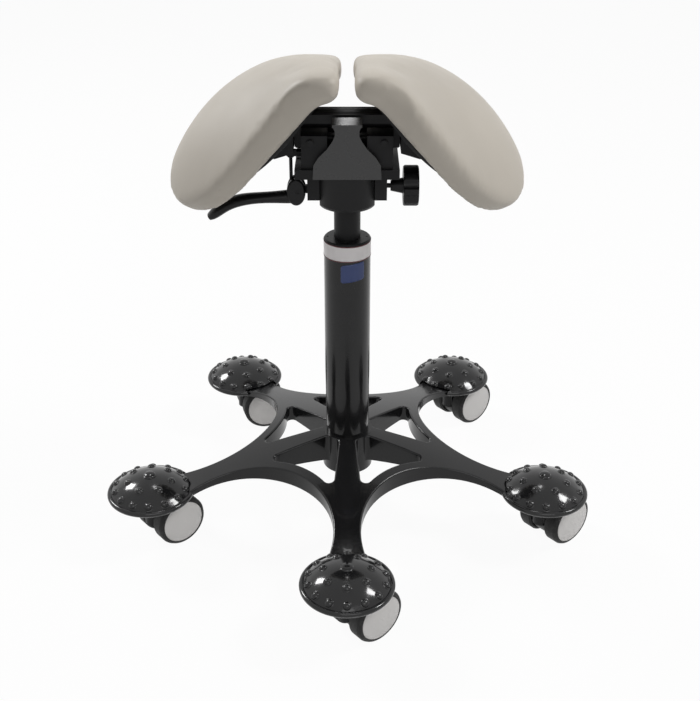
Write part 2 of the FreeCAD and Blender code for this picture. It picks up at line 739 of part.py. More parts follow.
deck_top = deck_bottom + deck_thickness
block_front, block_back = -deck_front + 4, pivot_back + 11
bolster = driving("bolster_radius", 20)
rocker_bottom = pin_top + 0.1
rocker_thickness = driving("rocker_thickness", 5)
rocker_half_width = driving("rocker_half_width", 5)
rocker_tip = driving("rocker_tip", 6)
rocker_pivot_x = driving("rocker_pivot_x", -29)
rocker_pivot_z = rocker_bottom + rocker_thickness / 2
rocker_pin_radius = driving("rocker_pin_radius", 1.5)
link_x = lever_pivot_x - 7
tab_inner = skirt_radius - 3
tab_depth = driving("tab_depth", 15)
ear_half = driving("ear_half_thickness", 3)
lever_half = driving("lever_half_thickness", 9.5)


def housing_feature():
    name = "mechanism_housing"
    deck = box(name + "_deck", -deck_half_width, deck_half_width, -deck_front, deck_back,
               deck_bottom, deck_top)
    solids = [deck, cylinder(name + "_socket", bolster, deck_bottom - taper_foot + 1, z=taper_foot)]
    for sign in (1, -1):
        inner, outer = block_inner * sign, block_outer * sign
        low, high = (inner, outer) if sign > 0 else (outer, inner)
        solids.append(box(name + "_block", low, high, block_front, block_back, deck_top - 1, block_top))
        near, far = tab_inner * sign, tab_half_width * sign
        low, high = (near, far) if sign > 0 else (far, near)
        solids.append(box(name + "_tab", low, high, -tab_depth, tab_depth, tab_foot, deck_bottom + 1))
    solids.append(box(name + "_web", -block_inner - 1, block_inner + 1, block_back - 4, block_back,
                      deck_top - 1, block_top))
    solids.append(box(name + "_ear", lever_pivot_x - 3.5, -tab_half_width + 1, -ear_half, ear_half,
                      lever_height - 4, lever_height + 4))
    body = fuse(name, *solids)
    socket = formed(name + "_socket_bore", Part.makeCone(
        float(cylinder_radius), float(cylinder_radius) - 0.8, float(cylinder_top) - float(taper_foot),
        Vector(0, 0, float(taper_foot))))
    below = cylinder(name + "_mouth", cylinder_radius, 4, z=taper_foot - 4)
    axle_bore = cylinder(name + "_axle_bore", pivot_radius, deck_half_width * 2, x=-deck_half_width,
                         y=pivot_back, z=pivot_height, along="X")
    slot = box(name + "_rocker_slot", -deck_half_width - 1, 12, -rocker_half_width - 1,
               rocker_half_width + 1, deck_top - 0.5, rocker_bottom + rocker_thickness + 5)
    link_hole = cylinder(name + "_link_hole", link_radius + 0.8, deck_thickness + 4,
                         x=link_x, z=deck_bottom - 2)
    lever_bore = cylinder(name + "_lever_bore", lever_pin_radius, ear_half * 4, x=lever_pivot_x,
                          y=-ear_half * 2, z=lever_height, along="Y")
    knob_bore = cylinder(name + "_knob_bore", screw_radius + running, tab_half_width - tab_inner + 4,
                         x=tab_inner - 2, z=knob_height, along="X")
    hollow = cut(name, body, socket, below, axle_bore, slot, link_hole, lever_bore, knob_bore)
    cross_pin = cylinder(name + "_cross_pin", rocker_pin_radius, rocker_half_width * 2 + 4,
                         x=rocker_pivot_x, y=-rocker_half_width - 2, z=rocker_pivot_z, along="Y")
    return fuse(name + "_whole", hollow, cross_pin)


piece("mechanism_housing", housing_feature())

piece("housing_skirt", cut("housing_skirt", turned("housing_skirt", [
    (cylinder_radius + 1.5, skirt_foot), (skirt_radius - 2, skirt_foot), (skirt_radius, skirt_foot + 3),
    (skirt_radius, deck_bottom), (skirt_radius - 2.6, deck_bottom), (skirt_radius - 2.6, taper_foot),
    (bolster + 0.4, taper_foot), (bolster + 0.4, skirt_foot + 1.5), (cylinder_radius + 1.5, skirt_foot + 1.5)]),
    box("skirt_tab_cut_left", -tab_half_width - 1, -tab_inner, -tab_depth, tab_depth,
        skirt_foot - 1, deck_bottom + 1),
    box("skirt_tab_cut_right", tab_inner, tab_half_width + 1, -tab_depth, tab_depth,
        skirt_foot - 1, deck_bottom + 1)))

cover_thickness = driving("cover_thickness", 3)
cover_foot = driving("cover_foot_half", 34.7)
cover_waist = driving("cover_waist_half", 12.2)
cover_head = driving("cover_head_half", 14.8)
cover_top = driving("cover_top", 478.5)
hood_depth = driving("hood_depth", 9.5)
hood_rise = driving("hood_rise", 4.8)
waist_bottom = deck_top + 36
cover_side = [(cover_foot, deck_bottom + 1), (cover_foot - 1, deck_top + 6), (cover_foot - 6, deck_top + 14),
              (cover_waist + 8, deck_top + 22.5), (cover_waist + 2.5, deck_top + 30.5),
              (cover_waist, waist_bottom), (cover_waist, waist_bottom + 5), (cover_head, cover_top)]
cover_face = sheet_part("front_cover_face", "XZ_Plane",
                        cover_side + [(-across, height) for across, height in reversed(cover_side)],
                        cover_thickness, deck_front)
cover_front = -deck_front - cover_thickness
cover_hood = sheet_part("front_cover_hood", "YZ_Plane", [
    (cover_front, cover_top - cover_thickness), (cover_front + hood_depth, cover_top - cover_thickness + hood_rise),
    (cover_front + hood_depth, cover_top + hood_rise), (cover_front, cover_top)],
    cover_head * 2, -cover_head)
piece("front_cover", fuse("front_cover", cover_face, cover_hood))

# Two screws on the fronts of the side blocks
screws = []
for sign in (1, -1):
    screws.append(cylinder("block_screw", 3.5, 2.5, x=(block_outer - 9) * sign, y=block_front - 2.5,
                           z=block_top - 7, along="Y"))
piece("housing_screws", group("housing_screws", *screws))

piece("tilt_axle", group("tilt_axle", cylinder(
    "tilt_axle_part", pivot_radius, deck_half_width * 2, x=-deck_half_width, y=pivot_back, z=pivot_height,
    along="X")))

# Release train: lever, its pin, the upright link and the rocker above the gas spring

# Grip sections: distance out from the pivot, drop below it, half height, half depth and lean in degrees
grip_sections = [(7, 8.5, 7.2, 8.2, 2), (21, 9.2, 6.3, 8.2, 3), (46, 10.5, 5.6, 8.8, 6),
                 (64, 13.5, 6, 10, 17), (77, 19, 6, 10.5, 30), (87, 26, 5.6, 10, 36), (94, 31, 3.6, 7, 36)]


def oval_wire(middle, half_height, half_depth, lean):
    """An oval that stands across a line leaning down towards -X."""
    turn = math.radians(lean)
    up = Vector(-math.sin(turn), 0, math.cos(turn))
    oval = Part.Ellipse(middle + Vector(0, half_depth, 0), middle + up * half_height, middle)
    return Part.Wire([oval.toShape()])


def lever_shape():
    """The grip lofted through its sections, on an oval hub that is slotted for the ear and the link."""
    x0, z0 = float(lever_pivot_x), float(lever_height)
    wires = [oval_wire(Vector(x0 - out, 0, z0 - drop), half_height, half_depth, lean)
             for out, drop, half_height, half_depth, lean in grip_sections]
    grip = Part.makeLoft(wires, True, False)
    half = float(lever_half)
    across = Vector(0, 1, 0)
    middle = Vector(x0 - 2, -half, z0 - 1.5)
    rim = Part.Ellipse(middle + Vector(0, 0, float(lever_hub_height)),
                       middle + Vector(float(lever_hub_width), 0, 0), middle)
    hub = Part.Face(Part.Wire([rim.toShape()])).extrude(across * (2 * half))
    hub = hub.makeFillet(2.5, [edge for edge in hub.Edges if len(edge.Vertexes) == 1])
    slot_half = float(ear_half + side_gap)
    pocket = Part.makeBox(9, 2 * slot_half, 30, Vector(float(link_x) - 4.5, -slot_half, z0 + 2.5))
    ear_slot = Part.makeBox(30, 2 * slot_half, 40, Vector(x0 - 5, -slot_half, z0 - 20))
    bore = Part.makeCylinder(float(lever_pin_radius) + float(running), 40, Vector(x0, -20, z0), across)
    return hub.fuse(grip).cut([bore, pocket, ear_slot])


piece("height_lever", formed("height_lever", lever_shape()))
piece("lever_pin", group("lever_pin", cylinder(
    "lever_pin_part", lever_pin_radius, lever_half * 2 - 1, x=lever_pivot_x, y=-lever_half + 0.5,
    z=lever_height, along="Y")))
link_top = rocker_bottom - 0.05
link_head = link_radius + 1.5
link = turned("release_link", [
    (0, lever_height + 3), (link_radius, lever_height + 3), (link_radius, link_top - 2),
    (link_head, link_top - 2), (link_head, link_top - 0.6), (0.8, link_top), (0, link_top)])
link.Placement.Base.x = float(link_x)
bind(link, "Placement.Base.x", link_x)
piece("release_link", group("release_link", link))
rocker_bar = box("rocker_bar", link_x - 4, rocker_tip, -rocker_half_width, rocker_half_width,
                 rocker_bottom, rocker_bottom + rocker_thickness)
piece("release_rocker", cut("release_rocker", rocker_bar, cylinder(
    "rocker_bore", rocker_pin_radius + running, rocker_half_width * 3, x=rocker_pivot_x,
    y=-rocker_half_width * 1.5, z=rocker_pivot_z, along="Y")))

# Tilt clamp knob on the right
knob_start = tab_half_width + 17


def knob_shape():
    """The moulded knob with finger hollows, its neck and its screw, along +X."""
    start, width = float(knob_start), float(knob_width)
    radius, height = float(knob_radius), float(knob_height)
    along = Vector(1, 0, 0)
    disc = Part.makeCylinder(radius, width, Vector(start, 0, height), along)
    disc = disc.makeFillet(2.2, [edge for edge in disc.Edges if len(edge.Vertexes) == 1])
    lobes = 8
    hollows = []
    for index in range(lobes):
        turn = (index + 0.5) * 2 * math.pi / lobes
        middle = Vector(start - 1, (radius + 5.5) * math.cos(turn), height + (radius + 5.5) * math.sin(turn))
        hollows.append(Part.makeCylinder(8, width + 2, middle, along))
    disc = disc.cut(hollows)
    neck_start = float(tab_half_width) + 4
    neck = Part.makeCone(5.5, 8.5, start - neck_start + 1, Vector(neck_start, 0, height), along)
    tip = float(tab_inner)
    stud_part = Part.makeCylinder(float(screw_radius), start - tip, Vector(tip, 0, height), along)
    return disc.fuse([neck, stud_part])


piece("tilt_knob", formed("tilt_knob", knob_shape()))

# Tilt frame: two ears on the axle, the front plate and a sleeve for each rail
frame_half = block_outer + 7
ear_inner = block_outer + 0.5
plate_top = plate_bottom + plate_thickness
sleeve_wall = driving("sleeve_wall", 4.5)
rail_height = plate_top - rail_radius - 1.5
rails = [(rail_front, rail_height), (rail_back, rail_back_height)]


def tilt_frame_feature():
    solids = [box("tilt_plate", -frame_half, frame_half, frame_front, rail_front + 10,
                  plate_bottom, plate_top)]
    for sign in (1, -1):
        inner, outer = ear_inner * sign, frame_half * sign
        low, high = (inner, outer) if sign > 0 else (outer, inner)
        solids.append(cylinder("tilt_boss", pivot_radius + sleeve_wall - 0.5, high - low, x=low,
                               y=pivot_back, z=pivot_height, along="X"))
        solids.append(box("tilt_ear", low, high, pivot_back - 4, rail_back + 6, pivot_height - 6,
                          rail_back_height))
        solids.append(box("tilt_cheek", low, high, rail_front - 8, rail_front + 30,
                          pivot_height, plate_bottom + 1))
    tools = [cylinder("tilt_bore", pivot_radius + running, frame_half * 2 + 10, x=-frame_half - 5,
                      y=pivot_back, z=pivot_height, along="X")]
    for across, height in rails:
        solids.append(cylinder("rail_sleeve", rail_radius + sleeve_wall, frame_half * 2, x=-frame_half,
                               y=across, z=height, along="X"))
        tools.append(cylinder("rail_bore", rail_radius, frame_half * 2 + 2, x=-frame_half - 1,
                              y=across, z=height, along="X"))
    return cut("tilt_frame", fuse("tilt_frame", *solids), *tools)


piece("tilt_frame", tilt_frame_feature())
piece("slide_rails", group("slide_rails", *[
    cylinder("slide_rail_part", rail_radius, rail_half_length * 2, x=-rail_half_length, y=across,
             z=height, along="X") for across, height in rails]))


# Seat halves

crown = [(seat_front, 544.5), (-80, 543.5), (-20, 537), (40, 525), (110, 508), (seat_back, 492)]


def blend(value, low, high):
    share = min(max((value - low) / (high - low), 0), 1)
    return share * share * (3 - 2 * share)


def mixed(front, back, share):
    return float(front) + (float(back) - float(front)) * share


def crown_height(across):
    """Height of the seat's top at the gap, through the crown points, smoothly."""
    points = [(float(y), float(z)) for y, z in crown]
    for (y0, z0), (y1, z1) in zip(points, points[1:]):
        if across <= y1:
            return z0 + (z1 - z0) * (across - y0) / (y1 - y0)
    return points[-1][1]


class Strip:
    """The seat's cross-section at one place along Y: its top line and the width it reaches."""

    def __init__(self, across):
        self.across = across
        share = blend(across, float(seat_front) - 8, float(seat_back) - 24)
        self.flat = mixed(front_flat, back_flat, share)
        self.shoulder = mixed(front_shoulder_radius, back_shoulder_radius, share)
        self.shoulder_turn = math.radians(mixed(front_shoulder_turn, back_shoulder_turn, share))
        self.flank = mixed(flank_front_radius, flank_back_radius, share)
        end = seat_front if across < float(seat_widest) else seat_back
        self.reach = abs((across - float(seat_widest)) / (float(end) - float(seat_widest)))
        bulge = float(front_bulge if across < float(seat_widest) else back_bulge)
        self.width = float(strip_width) * max(1 - self.reach ** bulge, 0) ** (1 / bulge)
        left = min(abs(float(end) - across) / float(end_round), 1)
        self.fullness = max(1 - (1 - left) ** 3, 0.25) ** (1 / 3)
        self.crown_turn = math.radians(float(crown_bend))

    def line_point(self, along, depth):
        """The point at a distance along the top line and a depth under it."""
        x, z = float(seat_gap) / 2, crown_height(self.across)
        turn, left = -self.crown_turn, along
        zones = ((self.flat / self.crown_turn, self.crown_turn),
                 (self.shoulder, self.shoulder_turn), (self.flank, math.pi))
        for radius, most in zones:
            bend = min(left / radius, most)
            x += radius * (math.sin(turn + bend) - math.sin(turn))
            z -= radius * (math.cos(turn) - math.cos(turn + bend))
            turn += bend
            left -= bend * radius
        return Vector(x - depth * math.sin(turn), self.across, z - depth * math.cos(turn))


def strip_wire(across, top, bottom, inset):
    """The closed section between two depths under the top line, inset from the strip's edges."""
    strip = Strip(across)
    thick = (bottom - top) * (strip.fullness if inset == 0 else 1)
    sink = (bottom - top - thick) / 2
    upper, lower = top + sink, top + sink + thick
    start, end = inset, max(strip.width - inset, inset + 8)
    round_off = thick * (0.3 if inset == 0 else 0.48)
    if inset == 0:
        start += 10 * (1 - strip.fullness)
        end = max(strip.width, 24) + thick / 2
    point = strip.line_point
    first, last = start + round_off, end - round_off
    steps = [first + (last - first) * share for share in (0, 0.18, 0.38, 0.66, 1)]
    near = round_off * (1 - math.sqrt(0.5))
    edges = []

    def arc(a, b, c):
        edges.append(Part.Arc(a, b, c).toShape())

    for a, b in zip(steps, steps[1:]):
        arc(point(a, upper), point((a + b) / 2, upper), point(b, upper))
    arc(point(last, upper), point(end - near, upper + near), point(end, upper + round_off))
    edges.append(Part.LineSegment(point(end, upper + round_off), point(end, lower - round_off)).toShape())
    arc(point(end, lower - round_off), point(end - near, lower - near), point(last, lower))
    for b, a in zip(reversed(steps), reversed(steps[:-1])):
        arc(point(b, lower), point((a + b) / 2, lower), point(a, lower))
    arc(point(first, lower), point(start + near, lower - near), point(start, lower - round_off))
    edges.append(Part.LineSegment(point(start, lower - round_off), point(start, upper + round_off)).toShape())
    arc(point(start, upper + round_off), point(start + near, upper + near), point(first, upper))
    return Part.Wire(edges)


def stations_between(low, high, shares):
    return [float(seat_widest) + (low - float(seat_widest)) * share for share in shares if share > 0] + [
        float(seat_widest)] + [float(seat_widest) + (high - float(seat_widest)) * share
                               for share in reversed(shares) if share > 0]


def cushion_shape():
    front, back = float(seat_front), float(seat_back)
    steps = [float(end_round) * share for share in (0, 0.2, 0.55, 1.1)]
    inner = stations_between(front, back, [0.78, 0.6, 0.35])
    places = [front + step for step in steps] + inner + [back - step for step in reversed(steps)]
    wires = [strip_wire(place, 0.0, float(cushion_thickness), 0) for place in places]
    return Part.makeLoft(wires, True, False)


def pan_shape():
    shares = [0.72, 0.6, 0.45, 0.25]
    places = stations_between(float(seat_front), float(seat_back), shares)
    top = float(cushion_thickness + pan_gap)
    wires = [strip_wire(place, top, top + float(pan_thickness), float(pan_inset)) for place in places]
    return Part.makeLoft(wires, True, False)


bracket_inner = frame_half + bracket_gap
sleeve_end = rail_half_length - 1
right_cushion = cushion_shape()
right_pan = pan_shape()
for across, height in rails:
    right_pan = right_pan.cut(Part.makeCylinder(
        float(rail_radius + sleeve_wall), float(rail_half_length - frame_half) + 12,
        Vector(float(frame_half), float(across), float(height)), Vector(1, 0, 0)))
mirror_plane = (Vector(), Vector(1, 0, 0))
piece("cushion_right", formed("cushion_right", right_cushion))
piece("cushion_left", formed("cushion_left", right_cushion.mirror(*mirror_plane)))
piece("seat_pan_right", formed("seat_pan_right", right_pan))
piece("seat_pan_left", formed("seat_pan_left", right_pan.mirror(*mirror_plane)))


# Brackets that carry the halves on the rails

bracket_front, bracket_back = driving("bracket_front", -30), driving("bracket_back", 52)
bracket_wall = driving("bracket_wall", 6)


def bracket_shape():
    """The right bracket: a ribbed wing trimmed to the pan above it, with a sleeve on each rail."""
    low, high = float(bracket_front), float(bracket_back)
    inner, outer = float(bracket_inner), float(sleeve_end)
    rail, wall = float(rail_height), float(bracket_wall)
    wing = side_prism([(inner, rail + 40), (inner, rail - 30), (outer, rail - 36),
                       (outer + 30, rail - 22), (outer + 30, rail + 40)], low, high)
    for top in (right_pan, right_cushion):
        wing = wing.cut(top)
    wing = min(wing.Solids, key=lambda solid: solid.CenterOfMass.z)
    hollow = [(inner + wall, rail - 60), (outer + 26, rail - 60), (outer + 26, rail - 22 - wall),
              (outer, rail - 14), (inner + wall, rail - 6)]
    start = low + wall
    for end in (float(rail_front) + 12, float(rail_back) - 12, high - wall):
        if end - start > wall:
            wing = wing.cut(side_prism(hollow, start, end))
        start = end + wall
    for across, height in rails:
        sleeve = Part.makeCylinder(float(rail_radius + sleeve_wall) - 1, outer - inner,
                                   Vector(inner, float(across), float(height)), Vector(1, 0, 0))
        wing = wing.fuse(sleeve)
    for across, height in rails:
        bore = Part.makeCylinder(float(rail_radius + running), outer - inner + 80,
                                 Vector(inner - 2, float(across), float(height)), Vector(1, 0, 0))
        wing = wing.cut(bore)
    return max(wing.Solids, key=lambda solid: solid.Volume)


def side_prism(corners, low, high):
    points = [Vector(x, low, z) for x, z in corners]
    return Part.Face(Part.makePolygon(points + points[:1])).extrude(Vector(0, high - low, 0))


right_bracket = bracket_shape()
piece("seat_bracket_right", formed("seat_bracket_right", right_bracket))
piece("seat_bracket_left", formed("seat_bracket_left", right_bracket.mirror(*mirror_plane)))


# Check every feature, then write one file per sub-part

doc.recompute()
for thing in doc.Objects:
    if "Invalid" in thing.State or "Error" in thing.State:
        raise RuntimeError("failed feature: " + thing.Name)
for thing in pieces:
    if thing.Shape.isNull() or not thing.Shape.isValid():
        raise RuntimeError("bad shape: " + thing.Label)
for thing in pieces:
    thing.Shape.exportStep("parts/" + thing.Label + ".step")
print(len(pieces), "sub-parts written")
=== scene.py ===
import json
import math

import bmesh
import bpy
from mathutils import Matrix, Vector


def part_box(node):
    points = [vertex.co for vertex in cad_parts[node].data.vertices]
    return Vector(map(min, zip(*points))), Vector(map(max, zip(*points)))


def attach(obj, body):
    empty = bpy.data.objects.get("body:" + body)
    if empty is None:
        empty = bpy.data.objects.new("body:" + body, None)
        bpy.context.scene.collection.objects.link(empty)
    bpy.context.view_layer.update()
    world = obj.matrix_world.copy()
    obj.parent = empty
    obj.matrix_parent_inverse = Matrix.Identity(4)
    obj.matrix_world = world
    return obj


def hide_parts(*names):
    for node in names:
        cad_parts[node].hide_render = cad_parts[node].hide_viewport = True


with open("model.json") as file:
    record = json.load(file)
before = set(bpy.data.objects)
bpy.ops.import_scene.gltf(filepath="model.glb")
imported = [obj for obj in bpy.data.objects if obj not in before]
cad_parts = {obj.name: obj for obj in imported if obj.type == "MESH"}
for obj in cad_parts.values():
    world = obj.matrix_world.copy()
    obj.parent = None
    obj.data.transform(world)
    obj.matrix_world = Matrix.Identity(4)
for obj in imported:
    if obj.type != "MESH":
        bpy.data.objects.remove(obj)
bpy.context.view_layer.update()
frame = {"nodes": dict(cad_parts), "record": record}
nodes = frame["nodes"]


# Small helpers for node materials

def linear(red, green, blue):
    """An 8-bit screen colour as linear values with alpha."""
    def one(value):
        value = value / 255
        return value / 12.92 if value <= 0.04045 else ((value + 0.055) / 1.055) ** 2.4
    return (one(red), one(green), one(blue), 1.0)


def shade(colour, factor):
    return tuple(channel * factor for channel in colour[:3]) + (1.0,)


class Finish:
    """A material being built round one Principled shader."""

    def __init__(self, name, colour, roughness, metallic=0.0, coat=0.0, coat_roughness=0.1, specular=0.5):
        self.material = bpy.data.materials.new(name)
        self.material.use_nodes = True
        self.tree = self.material.node_tree
        self.shader = self.tree.nodes["Principled BSDF"]
        self.put("Base Color", colour)
        self.put("Roughness", roughness)
        self.put("Metallic", metallic)
        self.put("Coat Weight", coat)
        self.put("Coat Roughness", coat_roughness)
        self.put("Specular IOR Level", specular)
        self.place = self.node("ShaderNodeTexCoord").outputs["Object"]
        self.material.diffuse_color = colour

    def put(self, socket, value):
        self.shader.inputs[socket].default_value = value

    def node(self, kind, **settings):
        made = self.tree.nodes.new(kind)
        for key, value in settings.items():
            setattr(made, key, value)
        return made

    def link(self, output, socket):
        self.tree.links.new(output, socket)

    def noise(self, scale, detail=3.0, roughness=0.5, stretch=None):
        """A noise pattern in metres, stretched along the axes where asked."""
        source = self.place
        if stretch:
            mapping = self.node("ShaderNodeMapping")
            mapping.inputs["Scale"].default_value = stretch
            self.link(source, mapping.inputs["Vector"])
            source = mapping.outputs["Vector"]
        noise = self.node("ShaderNodeTexNoise")
        noise.inputs["Scale"].default_value = scale
        noise.inputs["Detail"].default_value = detail
        noise.inputs["Roughness"].default_value = roughness
        self.link(source, noise.inputs["Vector"])
        return noise.outputs["Fac"]

    def cells(self, scale, feature="F1"):
        cells = self.node("ShaderNodeTexVoronoi", feature=feature)
        cells.inputs["Scale"].default_value = scale
        self.link(self.place, cells.inputs["Vector"])
        return cells.outputs["Distance"]

    def spread(self, value, low, high, to_low=0.0, to_high=1.0):
        ranged = self.node("ShaderNodeMapRange")
        ranged.inputs["From Min"].default_value = low
        ranged.inputs["From Max"].default_value = high
        ranged.inputs["To Min"].default_value = to_low
        ranged.inputs["To Max"].default_value = to_high
        self.link(value, ranged.inputs["Value"])
        return ranged.outputs["Result"]

    def vary_colour(self, value, first, second):
        mix = self.node("ShaderNodeMix", data_type="RGBA")
        mix.inputs["A"].default_value = first
        mix.inputs["B"].default_value = second
        self.link(value, mix.inputs["Factor"])
        self.link(mix.outputs["Result"], self.shader.inputs["Base Color"])
        return mix.outputs["Result"]

    def vary_roughness(self, value, low, high):
        self.link(self.spread(value, 0.25, 0.75, low, high), self.shader.inputs["Roughness"])

    def bump(self, *layers):
        """Each layer is a height pattern, its depth in metres and a strength."""
        normal = None
        for height, depth, strength in layers:
            bump = self.node("ShaderNodeBump")
            bump.inputs["Strength"].default_value = strength
            bump.inputs["Distance"].default_value = depth
            self.link(height, bump.inputs["Height"])
            if normal is not None:
                self.link(normal, bump.inputs["Normal"])
            normal = bump.outputs["Normal"]
        self.link(normal, self.shader.inputs["Normal"])

    def edge_wear(self, colour, worn, amount=0.5):
        """Convex edges and a few rubbed places show a paler colour."""
        pointiness = self.node("ShaderNodeNewGeometry").outputs["Pointiness"]
        edge = self.spread(pointiness, 0.53, 0.62, 0.0, amount)
        patchy = self.spread(self.noise(60, 4.0, 0.6), 0.4, 0.65)
        times = self.node("ShaderNodeMath", operation="MULTIPLY")
        self.link(edge, times.inputs[0])
        self.link(patchy, times.inputs[1])
        return self.vary_colour(times.outputs["Value"], colour, worn)


def gloss_paint(name, colour):
    """Stove-enamelled metal under a clear coat, with a faint orange peel."""
    made = Finish(name, colour, 0.2, coat=0.2, coat_roughness=0.04, specular=0.22)
    made.edge_wear(colour, shade(colour, 2.2), 0.4)
    made.vary_roughness(made.noise(24, 4.0), 0.16, 0.26)
    made.bump((made.noise(260, 2.0), 0.0004, 0.06), (made.noise(1500, 2.0), 0.0001, 0.05))
    return made.material


def gloss_plastic(name, colour):
    """Polished moulded plastic with faint flow marks."""
    made = Finish(name, colour, 0.13, coat=0.25, coat_roughness=0.05, specular=0.25)
    made.vary_colour(made.noise(18, 3.0), colour, shade(colour, 1.35))
    made.vary_roughness(made.noise(40, 4.0), 0.1, 0.2)
    made.bump((made.noise(90, 2.0), 0.0005, 0.05))
    return made.material


def satin_coat(name, colour, roughness=0.42):
    """Powder-coated metal: a fine pebbled surface, rubbed paler on its edges."""
    made = Finish(name, colour, roughness, specular=0.16)
    made.edge_wear(colour, shade(colour, 3.0), 0.4)
    made.vary_roughness(made.noise(30, 4.0), roughness - 0.05, roughness + 0.08)
    made.bump((made.noise(900, 3.0, 0.6), 0.0003, 0.25))
    return made.material


def moulded(name, colour, roughness=0.38, grain=0.2, specular=0.2):
    """Moulded plastic with a spark-eroded grain."""
    made = Finish(name, colour, roughness, specular=specular)
    made.vary_colour(made.noise(25, 4.0), colour, shade(colour, 1.2))
    made.vary_roughness(made.noise(50, 3.0), roughness - 0.05, roughness + 0.06)
    made.bump((made.cells(1600), 0.0002, grain), (made.noise(120, 2.0), 0.0004, 0.04))
    return made.material


def tread(name, colour):
    """Soft wheel tread with scuffs round the rolling face."""
    made = Finish(name, colour, 0.55, specular=0.25)
    scuffs = made.spread(made.noise(180, 5.0, 0.7), 0.5, 0.75)
    made.vary_colour(scuffs, colour, shade(colour, 3.0))
    made.vary_roughness(made.noise(70, 4.0), 0.48, 0.66)
    made.bump((made.noise(700, 4.0, 0.6), 0.0003, 0.2))
    return made.material


def bare_metal(name, colour, roughness):
    """Turned or drawn metal with fine marks along its length."""
    made = Finish(name, colour, roughness, metallic=1.0)
    marks = made.noise(900, 2.0, 0.5, stretch=(1.0, 1.0, 0.05))
    made.vary_colour(made.noise(40, 3.0), colour, shade(colour, 0.82))
    made.vary_roughness(marks, roughness - 0.06, roughness + 0.1)
    made.bump((marks, 0.0001, 0.12))
    return made.material


def leatherette(name, colour):
    """Coated upholstery: pebble grain, faint pulls and a soft change of tone."""
    made = Finish(name, colour, 0.5, specular=0.4)
    made.put("Sheen Weight", 0.08)
    made.put("Sheen Roughness", 0.5)
    tone = made.spread(made.noise(9, 3.0), 0.3, 0.7)
    made.vary_colour(tone, shade(colour, 0.965), shade(colour, 1.035))
    made.vary_roughness(made.noise(28, 4.0), 0.44, 0.58)
    grain = made.spread(made.cells(820, "DISTANCE_TO_EDGE"), 0.0, 0.18)
    pores = made.noise(2400, 2.0)
    pulls = made.noise(34, 3.0, 0.5, stretch=(1.0, 2.6, 1.0))
    made.bump((pulls, 0.002, 0.05), (grain, 0.00012, 0.22), (pores, 0.00005, 0.15))
    return made.material


def label(name, colour):
    """A printed film label."""
    made = Finish(name, colour, 0.35)
    made.vary_colour(made.noise(60, 4.0), colour, shade(colour, 0.9))
    made.bump((made.noise(300, 2.0), 0.0002, 0.05))
    return made.material


BLACK = (0.008, 0.008, 0.0085, 1.0)
SOFT_BLACK = (0.009, 0.009, 0.0095, 1.0)
finishes = {
    "gloss_black": gloss_paint("gloss_black_paint", BLACK),
    "cap_black": gloss_plastic("gloss_black_plastic", BLACK),
    "satin_black": satin_coat("satin_black_coat", SOFT_BLACK),
    "black_plastic": moulded("black_moulding", SOFT_BLACK),
    "tread_black": tread("tread_black_polyurethane", (0.014, 0.014, 0.014, 1.0)),
    "disc_grey": moulded("grey_moulding", linear(206, 204, 202), 0.32, 0.1, 0.4),
    "steel": bare_metal("drawn_steel", (0.55, 0.55, 0.56, 1.0), 0.28),
    "chrome": bare_metal("ground_chrome", (0.75, 0.75, 0.77, 1.0), 0.14),
    "leatherette": leatherette("grey_beige_leatherette", linear(186, 179, 168)),
    "pan_black": moulded("pan_black_moulding", SOFT_BLACK, 0.5, 0.3),
    "blackened_steel": satin_coat("blackened_steel", SOFT_BLACK, 0.34),
    "cover_black": moulded("cover_black_moulding", (0.02, 0.02, 0.0205, 1.0), 0.27, 0.06, 0.55),
}
slots = {entry["node"]: entry["material_slot"] for entry in frame["record"]["subparts"]}
for node_name, node_object in nodes.items():
    for socket in node_object.material_slots:
        socket.material = finishes[slots[node_name]]


# Cushions: each starts from its solid, is inflated under its cover and holds every point within a small
# swell of where it was

SKIN_VOXEL = 0.0036
NOSE_ROUNDS, SKIN_ROUNDS, LAST_ROUNDS = 40, 9, 3
NOSE_BACK_Y = -0.106
NOSE_SIDE_X = 0.02
NOSE_FADE = 0.05
COVER_PRESSURE = 4.0
COVER_SWELL = 0.0022
CLOTH_FRAMES = 20


def copied(source, name):
    made = bpy.data.objects.new(name, source.data.copy())
    bpy.context.scene.collection.objects.link(made)
    made.data.materials.clear()
    return made


def apply_modifiers(thing):
    bpy.context.view_layer.update()
    graph = bpy.context.evaluated_depsgraph_get()
    mesh = bpy.data.meshes.new_from_object(thing.evaluated_get(graph))
    thing.modifiers.clear()
    old = thing.data
    thing.data = mesh
    bpy.data.meshes.remove(old)


def remesh(thing, voxel):
    changed = thing.modifiers.new("skin", "REMESH")
    changed.mode = "VOXEL"
    changed.voxel_size = voxel
    changed.use_smooth_shade = True
    apply_modifiers(thing)


def relax(thing, rounds, weight=None):
    """Smooth the skin, where asked only as far as the weight of each point says."""
    changed = thing.modifiers.new("relax", "SMOOTH")
    changed.factor = 0.5
    changed.iterations = rounds
    if weight:
        group = thing.vertex_groups.new(name="relax")
        for vertex in thing.data.vertices:
            group.add([vertex.index], weight(vertex.co), "REPLACE")
        changed.vertex_group = group.name
    apply_modifiers(thing)
    thing.vertex_groups.clear()


def nose_weight(point):
    """One at the narrow front end beside the gap, fading to nothing behind it and beside it."""
    behind = (point.y - NOSE_BACK_Y) / NOSE_FADE
    beside = (abs(point.x) - NOSE_SIDE_X) / NOSE_FADE
    return min(max(1 - behind, 0), 1) * min(max(1 - beside, 0), 1)


